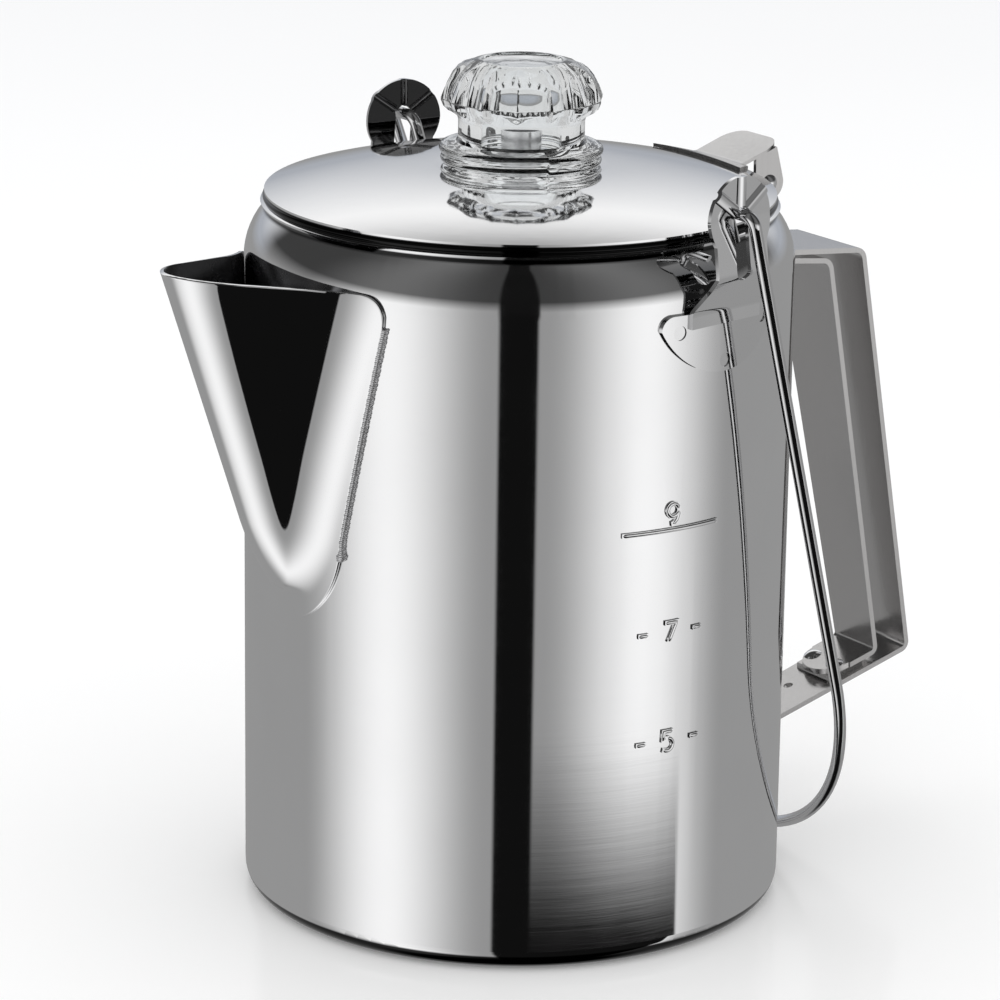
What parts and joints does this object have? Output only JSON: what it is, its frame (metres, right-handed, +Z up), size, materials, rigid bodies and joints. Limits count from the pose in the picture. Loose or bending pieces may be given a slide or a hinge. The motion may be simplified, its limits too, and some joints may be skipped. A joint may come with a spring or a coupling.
{
  "type": "coffee percolator",
  "caption": "Stainless steel stove-top coffee percolator with folded spout, strap handle, swinging wire bail, hinged lid, clear glass knob, pump stem and grounds basket",
  "frame": {"origin": "centre of the pot's base, on the table", "axes": "+Z up, +X towards the handle and lid hinge, -X towards the spout, bail brackets near -Y and +Y"},
  "size_m": [0.2143, 0.1488, 0.202],
  "materials": {
    "polished_steel": "mirror polished stainless steel",
    "satin_steel": "satin stainless strap with bright cut edges",
    "wire": "bright drawn stainless wire",
    "inner_steel": "plain mill-finish steel",
    "clear_glass": "clear moulded glass"
  },
  "bodies": {
    "pot": {"pot_body": "polished_steel", "spout": "polished_steel", "bail_bracket_left": "polished_steel", "bail_bracket_right": "polished_steel", "handle_outer_strap": "satin_steel", "handle_inner_strap": "satin_steel", "handle_spacer": "satin_steel", "handle_rivets": "polished_steel", "hinge_bracket": "satin_steel", "hinge_pin": "polished_steel"},
    "bail": {"bail_wire": "wire"},
    "lid": {"lid_shell": "polished_steel", "lid_hinge_leaf": "satin_steel"},
    "knob": {"glass_knob": "clear_glass"},
    "pump": {"stem_tube": "inner_steel", "stem_foot": "inner_steel", "stem_collar": "inner_steel"},
    "basket": {"basket_shell": "inner_steel", "basket_sleeve": "inner_steel"},
    "cover": {"basket_cover": "inner_steel"}
  },
  "joints": [
    {"name": "lid_swing", "type": "hinge", "parent": "pot", "child": "lid", "pos_m": [0.0672, 0, 0.1668], "axis": [0, 1, 0], "range_deg": [0, 105]},
    {"name": "bail_swing", "type": "hinge", "parent": "pot", "child": "bail", "pos_m": [0.012, 0, 0.1766], "axis": [0, -1, 0], "range_deg": [0, 290]},
    {"name": "knob_turn", "type": "hinge", "parent": "lid", "child": "knob", "pos_m": [0, 0, 0.1766], "axis": [0, 0, 1], "range_deg": [0, 90]},
    {"name": "pump_lift", "type": "slide", "parent": "pot", "child": "pump", "axis": [0, 0, 1], "range_m": [0, 0.004]},
    {"name": "basket_lift", "type": "slide", "parent": "pump", "child": "basket", "axis": [0, 0, 1], "range_m": [0, 0.003]},
    {"name": "cover_lift", "type": "slide", "parent": "basket", "child": "cover", "axis": [0, 0, 1], "range_m": [0, 0.002]}
  ]
}
